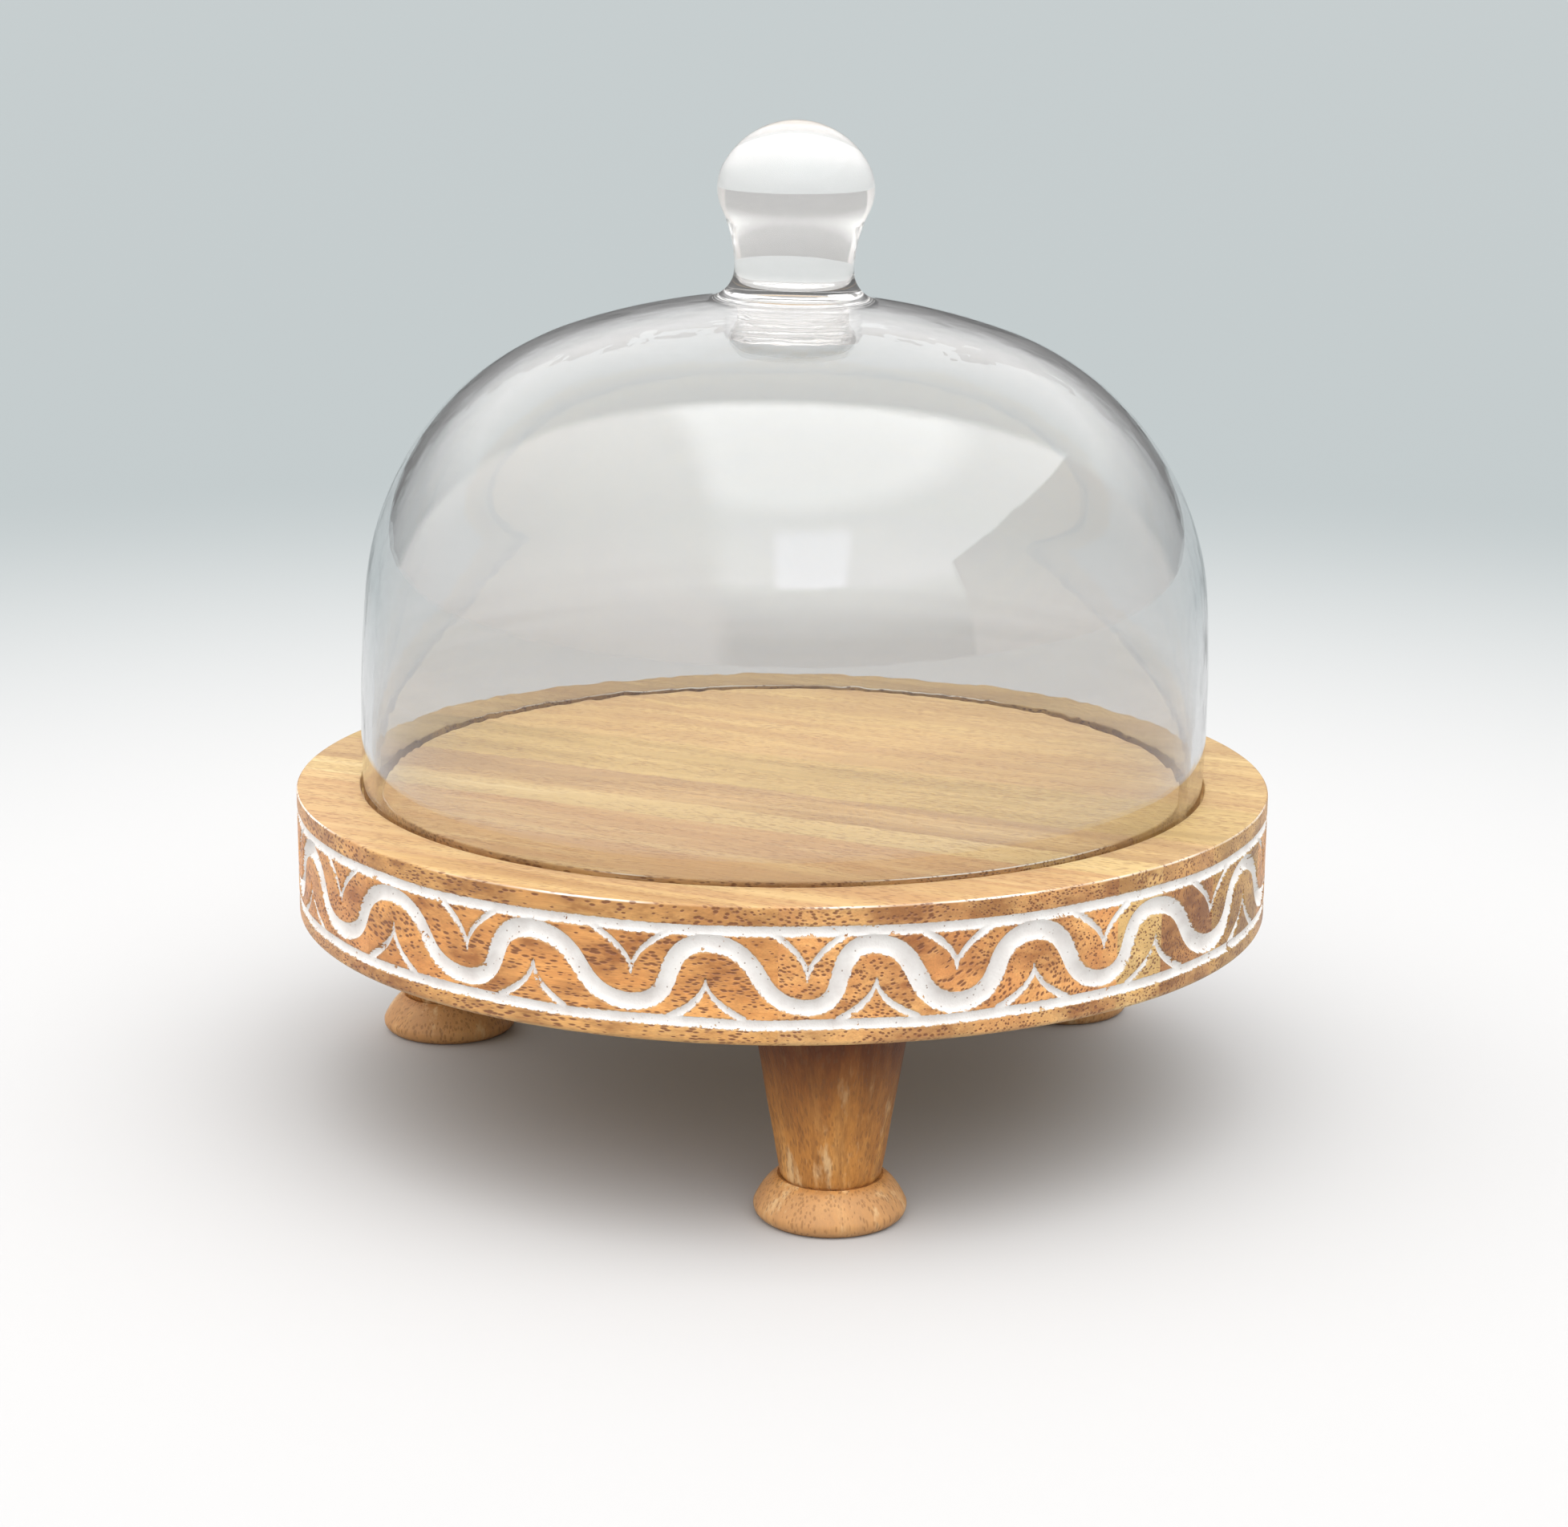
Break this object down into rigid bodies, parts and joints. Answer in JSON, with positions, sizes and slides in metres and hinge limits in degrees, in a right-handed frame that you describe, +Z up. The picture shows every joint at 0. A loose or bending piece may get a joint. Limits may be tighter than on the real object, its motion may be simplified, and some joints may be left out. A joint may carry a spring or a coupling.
{
  "type": "cheese dome",
  "caption": "Round carved wooden pedestal board on turned legs, with a clear lift-off glass dome and knob for serving cheese or cake.",
  "frame": {"origin": "on the table, under the middle of the board", "axes": "+Z up along the dome's axis; one leg points to -Y, the front"},
  "size_m": [0.3, 0.3, 0.299],
  "materials": {
    "stave_1": "satin",
    "stave_2": "satin",
    "stave_3": "satin",
    "stave_4": "satin",
    "stave_5": "satin",
    "stave_6": "satin",
    "stave_7": "satin",
    "leg_wood": "satin",
    "bolt_steel": "zinc plated",
    "insert_brass": "plain",
    "dome_glass": "polished clear",
    "knob_glass": "polished clear"
  },
  "bodies": {
    "board": {"stave_1": "stave_1", "stave_2": "stave_2", "stave_3": "stave_3", "stave_4": "stave_4", "stave_5": "stave_5", "stave_6": "stave_6", "stave_7": "stave_7", "threaded_insert_front": "insert_brass", "threaded_insert_right": "insert_brass", "threaded_insert_left": "insert_brass"},
    "dome": {"glass_dome": "dome_glass", "glass_knob": "knob_glass"},
    "bolt_front": {"hanger_bolt_front": "bolt_steel"},
    "leg_front": {"leg_front": "leg_wood"},
    "bolt_right": {"hanger_bolt_right": "bolt_steel"},
    "leg_right": {"leg_right": "leg_wood"},
    "bolt_left": {"hanger_bolt_left": "bolt_steel"},
    "leg_left": {"leg_left": "leg_wood"}
  },
  "joints": [
    {"name": "dome_lift", "type": "slide", "parent": "board", "child": "dome", "axis": [0, 0, 1], "range_m": [0, 0.25]},
    {"name": "leg_front_travel", "type": "slide", "parent": "board", "child": "bolt_front", "axis": [0, 0, -1], "range_m": [0, 0.015]},
    {"name": "leg_front_unscrew", "type": "hinge", "parent": "bolt_front", "child": "leg_front", "pos_m": [0, -0.1197, 0], "axis": [0, 0, -1], "range_deg": [0, 4320]},
    {"name": "leg_right_travel", "type": "slide", "parent": "board", "child": "bolt_right", "axis": [0, 0, -1], "range_m": [0, 0.015]},
    {"name": "leg_right_unscrew", "type": "hinge", "parent": "bolt_right", "child": "leg_right", "pos_m": [0.10366, 0.05985, 0], "axis": [0, 0, -1], "range_deg": [0, 4320]},
    {"name": "leg_left_travel", "type": "slide", "parent": "board", "child": "bolt_left", "axis": [0, 0, -1], "range_m": [0, 0.015]},
    {"name": "leg_left_unscrew", "type": "hinge", "parent": "bolt_left", "child": "leg_left", "pos_m": [-0.10366, 0.05985, 0], "axis": [0, 0, -1], "range_deg": [0, 4320]}
  ],
  "couplings": [
    {"joint": "leg_front_travel", "follows": "leg_front_unscrew", "m_per_rad": 0.00019894},
    {"joint": "leg_right_travel", "follows": "leg_right_unscrew", "m_per_rad": 0.00019894},
    {"joint": "leg_left_travel", "follows": "leg_left_unscrew", "m_per_rad": 0.00019894}
  ]
}
